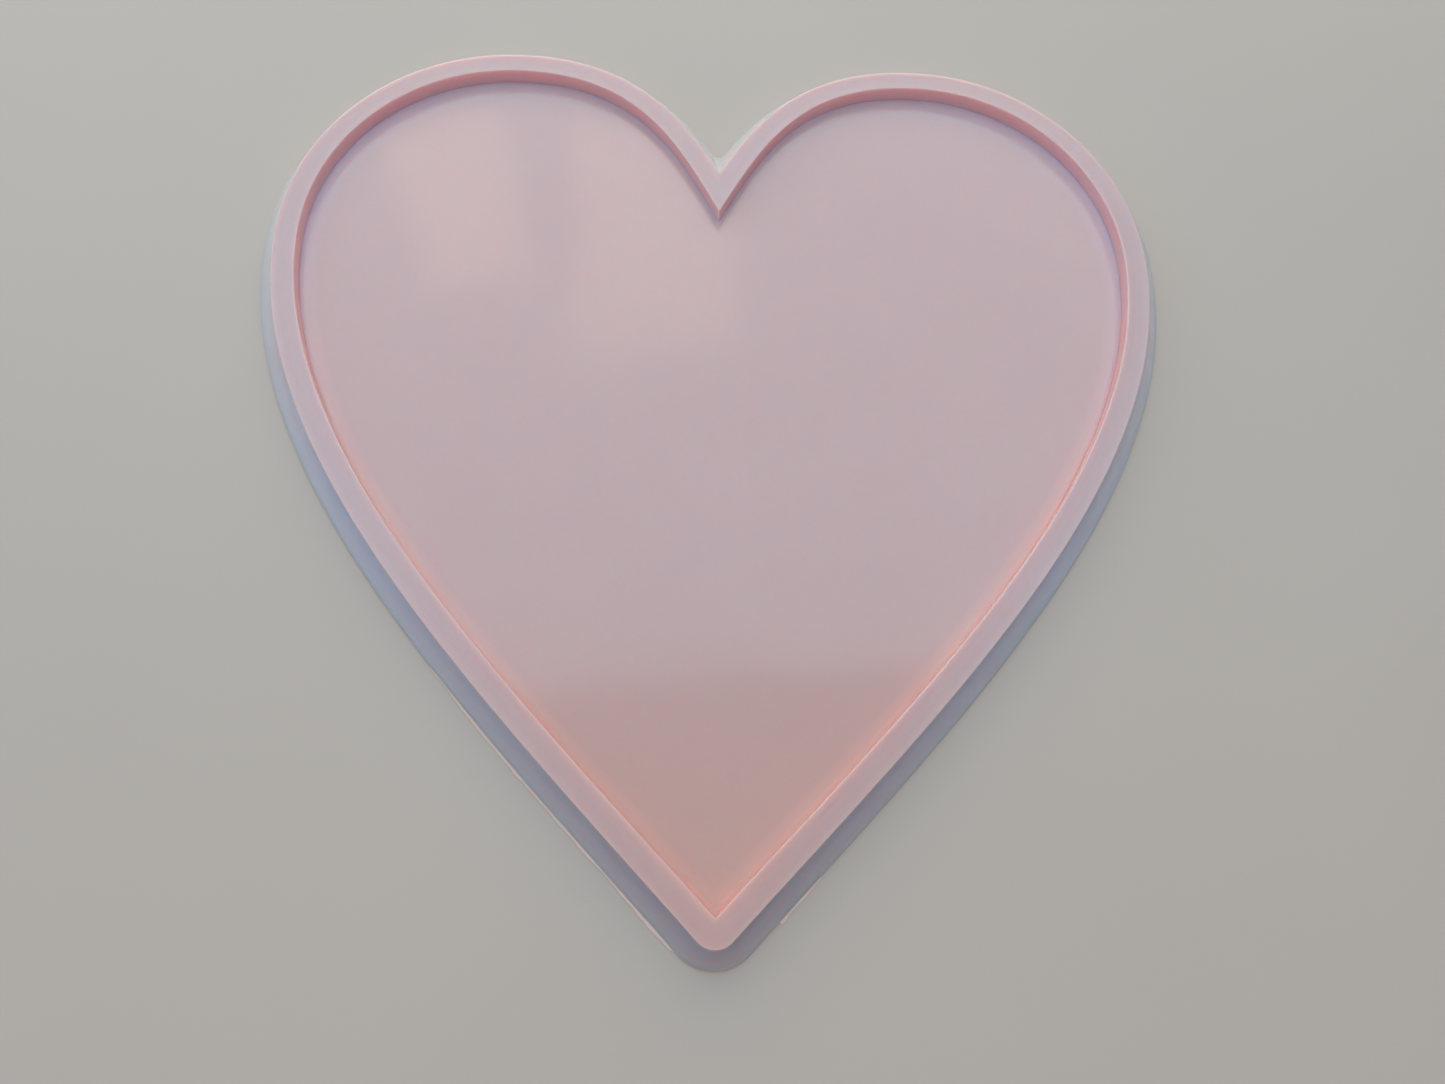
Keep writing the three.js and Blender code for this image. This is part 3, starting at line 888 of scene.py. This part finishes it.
def nib_tree():
    tree, given = new_tree(
        "lip nibs", Outline="Object", Places="Object", Tip_Radius="Float", Height="Float",
        Seed="Int", Material="Material",
    )
    outline = add(tree, "GeometryNodeObjectInfo", {"Object": given["Outline"]}).outputs["Geometry"]
    places = add(tree, "GeometryNodeObjectInfo", {"Object": given["Places"]}).outputs["Geometry"]
    numbers = add(tree, "ShaderNodeSeparateXYZ", {0: add(tree, "GeometryNodeInputPosition")})
    side, share, size = numbers.outputs
    carried = add(tree, "GeometryNodeStoreNamedAttribute", {
        "Geometry": places, "Name": "size", "Value": size,
    }, data_type="FLOAT", domain="POINT")
    point, outward = curve_point(tree, outline, share)
    lip = moved_out(tree, point, outward, given["Tip Radius"])
    x, y, _ = add(tree, "ShaderNodeSeparateXYZ", {0: lip}).outputs
    sided = add(tree, "ShaderNodeMath", {0: x, 1: side}, operation="MULTIPLY")
    target = add(tree, "ShaderNodeCombineXYZ", {"X": sided, "Y": y, "Z": given["Height"]})
    out_x, out_y, _ = add(tree, "ShaderNodeSeparateXYZ", {0: outward}).outputs
    out_sided = add(tree, "ShaderNodeMath", {0: out_x, 1: side}, operation="MULTIPLY")
    heading = add(tree, "ShaderNodeMath", {0: out_y, 1: out_sided}, operation="ARCTAN2")
    carried = add(tree, "GeometryNodeStoreNamedAttribute", {
        "Geometry": carried, "Name": "heading", "Value": heading,
    }, data_type="FLOAT", domain="POINT")
    placed = add(tree, "GeometryNodeSetPosition", {"Geometry": carried, "Position": target})

    flake = add(tree, "GeometryNodeMeshIcoSphere", {"Radius": NIB_RADIUS, "Subdivisions": 2})
    where = add(tree, "GeometryNodeInputPosition")
    lumps = add(tree, "ShaderNodeTexNoise", {"Vector": where, "Scale": 1 / NIB_RADIUS})
    lumps = add(tree, "ShaderNodeMapRange", {0: lumps, 3: 0.7, 4: 1.2})
    lumpy = add(tree, "ShaderNodeVectorMath", {0: where, "Scale": lumps}, operation="SCALE")
    flat = add(tree, "ShaderNodeVectorMath", {0: lumpy, 1: NIB_SHAPE}, operation="MULTIPLY")
    flake = add(tree, "GeometryNodeSetPosition", {"Geometry": flake, "Position": flat})

    saved_heading = add(tree, "GeometryNodeInputNamedAttribute", {
        "Name": "heading",
    }, data_type="FLOAT")
    sway = add(tree, "FunctionNodeRandomValue", {2: -0.5, 3: 0.5, "Seed": given["Seed"]})
    spin = add(tree, "ShaderNodeMath", {0: saved_heading, 1: sway.outputs[1]}, operation="ADD")
    turn = add(tree, "ShaderNodeCombineXYZ", {"Z": spin})
    turn = add(tree, "FunctionNodeEulerToRotation", {0: turn})
    saved_size = add(tree, "GeometryNodeInputNamedAttribute", {"Name": "size"}, data_type="FLOAT")
    nibs = add(tree, "GeometryNodeInstanceOnPoints", {
        "Points": placed, "Instance": flake, "Rotation": turn, "Scale": saved_size,
    })
    finished(tree, nibs, given["Material"], sharp_angle=80)
    return tree


place_data = bpy.data.meshes.new("nib places")
place_data.from_pydata(NIBS, [], [])
nib_places = bpy.data.objects.new("nib places", place_data)
bpy.context.collection.objects.link(nib_places)
nibs = grown(
    "lip_nibs", nib_tree(), Outline=half_heart, Places=nib_places,
    Tip_Radius=(TIP_RADIUS + NIB_OVERHANG) * MM, Height=(BODY_HEIGHT - NIB_SINK) * MM, Seed=2,
    Material=feather,
)
outwards(nibs)
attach(nibs, "root")

# %% [markdown]
# ## Clear away the helpers
# The outline, the section and the lists were only there to be read by the trees. An object that
# isn't part of the mould would end up in the export, so they are deleted.

# %% Delete helper objects
for helper in (half_heart, wall_section, nib_places):
    bpy.data.objects.remove(helper)

# %% [markdown]
# ## The table
# A plain pale floor keeps attention on the mould and catches its soft shadow. It is a large disc,
# so that its edge stays out of low views, and it lies a tenth of a millimetre under the mould. A
# faint unevenness keeps it from looking like empty space. The lamps stand close, so the floor would
# go dark further out. There the camera sees it melt into the pale backdrop, as paper that curves up
# behind a set does, and no light is added by that.

# %% Floor
BACKDROP = "#BEBBB6"
FLOOR_RADIUS = 6
FLOOR_CORNERS = 96
FLOOR_GAP = 0.1 * MM
FADE_START, FADE_END = 0.6, 1.8
PAPER_CLOUD = 150 * MM


def seen_directly(tree):
    """1 for the rays that show the surroundings themselves: the camera's and the mirrored ones."""
    path = add(tree, "ShaderNodeLightPath").outputs
    sharp = add(tree, "ShaderNodeMath", {
        0: path["Is Camera Ray"], 1: path["Is Glossy Ray"],
    }, operation="MAXIMUM")
    return add(tree, "ShaderNodeMath", {
        0: sharp, 1: path["Is Transmission Ray"],
    }, operation="MAXIMUM")


def pale_floor():
    material, tree = new_material("pale matt paper")
    place = add(tree, "ShaderNodeTexCoord").outputs["Object"]
    clouds = add(tree, "ShaderNodeTexNoise", {
        "Vector": place, "Scale": 1 / PAPER_CLOUD, "Detail": 2,
    })
    tint = add(tree, "ShaderNodeMix", {
        0: clouds, 6: colour("#B4AAA4"), 7: colour("#B9AFA9"),
    }, data_type="RGBA")
    paper = add(tree, "ShaderNodeBsdfPrincipled", {"Base Color": tint.outputs[2], "Roughness": 0.9})
    distance = add(tree, "ShaderNodeVectorMath", {0: place}, operation="LENGTH").outputs["Value"]
    far = add(tree, "ShaderNodeMapRange", {
        0: distance, 1: FADE_START, 2: FADE_END,
    }, interpolation_type="SMOOTHSTEP")
    far_seen = add(tree, "ShaderNodeMath", {0: far, 1: seen_directly(tree)}, operation="MULTIPLY")
    backdrop = add(tree, "ShaderNodeEmission", {"Color": colour(BACKDROP), "Strength": 1})
    melted = add(tree, "ShaderNodeMixShader", {0: far_seen, 1: paper, 2: backdrop})
    add(tree, "ShaderNodeOutputMaterial", {"Surface": melted})
    return material


floor_data = bpy.data.meshes.new("floor")
around = [math.tau * i / FLOOR_CORNERS for i in range(FLOOR_CORNERS)]
floor_data.from_pydata(
    [(math.cos(a) * FLOOR_RADIUS, math.sin(a) * FLOOR_RADIUS, -FLOOR_GAP) for a in around],
    [], [list(range(FLOOR_CORNERS))],
)
floor_data.materials.append(pale_floor())
floor = bpy.data.objects.new("floor", floor_data)
bpy.context.collection.objects.link(floor)
floor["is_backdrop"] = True
print("floor", FLOOR_RADIUS * 2, "m across")

# %% [markdown]
# ## Light
# The mould lies in soft daylight. One large cool soft box stands behind the lobes, where its
# reflection covers the upper part of the glossy floor and stops softly above the tip. A low warm
# window further back leaves the foot of the lobes' wall in soft shade. A panel overhead and a dim
# one at the left fill the rest, and two small warm panes give the left lobe its faint reflections.
# A lamp's level is the brightness of its face, where 1 is white paper in full light, and the helper
# works the power out from that. Together with the pale room they bring a matt surface out at about
# its written colour.

# %% Lamps
from mathutils import Vector


def soft_box(name, centre, aim, size, tint, level):
    lamp = bpy.data.lights.new(name, "AREA")
    lamp.shape = "RECTANGLE"
    lamp.size, lamp.size_y = size
    lamp.color = colour(tint)[:3]
    lamp.energy = level * math.pi * size[0] * size[1]
    box = bpy.data.objects.new(name, lamp)
    box.location = centre
    box.rotation_euler = (Vector(aim) - Vector(centre)).to_track_quat("-Z", "Y").to_euler()
    box.visible_camera = False
    bpy.context.collection.objects.link(box)
    return box


soft_box("sky panel", (-0.05, 0.60, 0.97), (0.01, 0.0, 0), (1.44, 0.84), "#BFE9FF", 2.06)
soft_box("low window", (0.0, 1.15, 0.52), (-0.05, 0, 0), (1.8, 0.5), "#FFEAC4", 2.30)
soft_box("overhead panel", (-0.1, -0.5, 1.3), (0, 0, 0), (1.2, 0.8), "#FFF5F1", 2.25)
soft_box("left panel", (-1.0, 0.5, 0.40), (0, 0, 0), (1.3, 0.62), "#E2F8FF", 1.00)
soft_box("left pane", (-0.296, 0.791, 0.834), (-0.092, 0.096, 0), (0.14, 0.2), "#FFCAA0", 1.85)
soft_box("right pane", (-0.043, 0.763, 0.86), (-0.029, 0.086, 0), (0.21, 0.3), "#FFCAA0", 1.75)

world = bpy.data.worlds.new("pale room")
world.use_nodes = True
world.node_tree.nodes.clear()
room = add(world.node_tree, "ShaderNodeBackground", {"Color": colour("#878D8D"), "Strength": 1.0})
seen = add(world.node_tree, "ShaderNodeBackground", {"Color": colour(BACKDROP), "Strength": 1.0})
blend = add(world.node_tree, "ShaderNodeMixShader", {
    0: seen_directly(world.node_tree), 1: room, 2: seen,
})
add(world.node_tree, "ShaderNodeOutputWorld", {"Surface": blend})
bpy.context.scene.world = world
bpy.context.scene.view_settings.view_transform = "Standard"

# %% [markdown]
# ## Camera
# The picture was taken by hand from above the tip, looking down and a little towards the notch. The
# place, the turn and the lens were solved from the straight run of the rim in the picture, so they
# are written as found.

# %% Camera
camera_data = bpy.data.cameras.new("camera")
camera_data.sensor_width = 36
camera_data.lens = 27.0546
camera = bpy.data.objects.new("camera", camera_data)
camera.location = (-15.7 * MM, -176.11 * MM, 329.17 * MM)
camera.rotation_euler = [math.radians(a) for a in (22.836, -3.187, 0.205)]
bpy.context.collection.objects.link(camera)
bpy.context.scene.camera = camera
print("camera", [round(c / MM) for c in camera.location], "mm")

# %% [markdown]
# ## Compare the boxes and finish
# The dressed model has to stay the size of the solids, so how far each corner of its box lies from
# the solids' is printed.

# %% Write the sizes and finish
seen_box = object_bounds()
for corner_cad, corner_seen in zip(cad_box, seen_box):
    print([round((b - a) / MM, 3) for a, b in zip(corner_cad, corner_seen)], "mm from the solids")
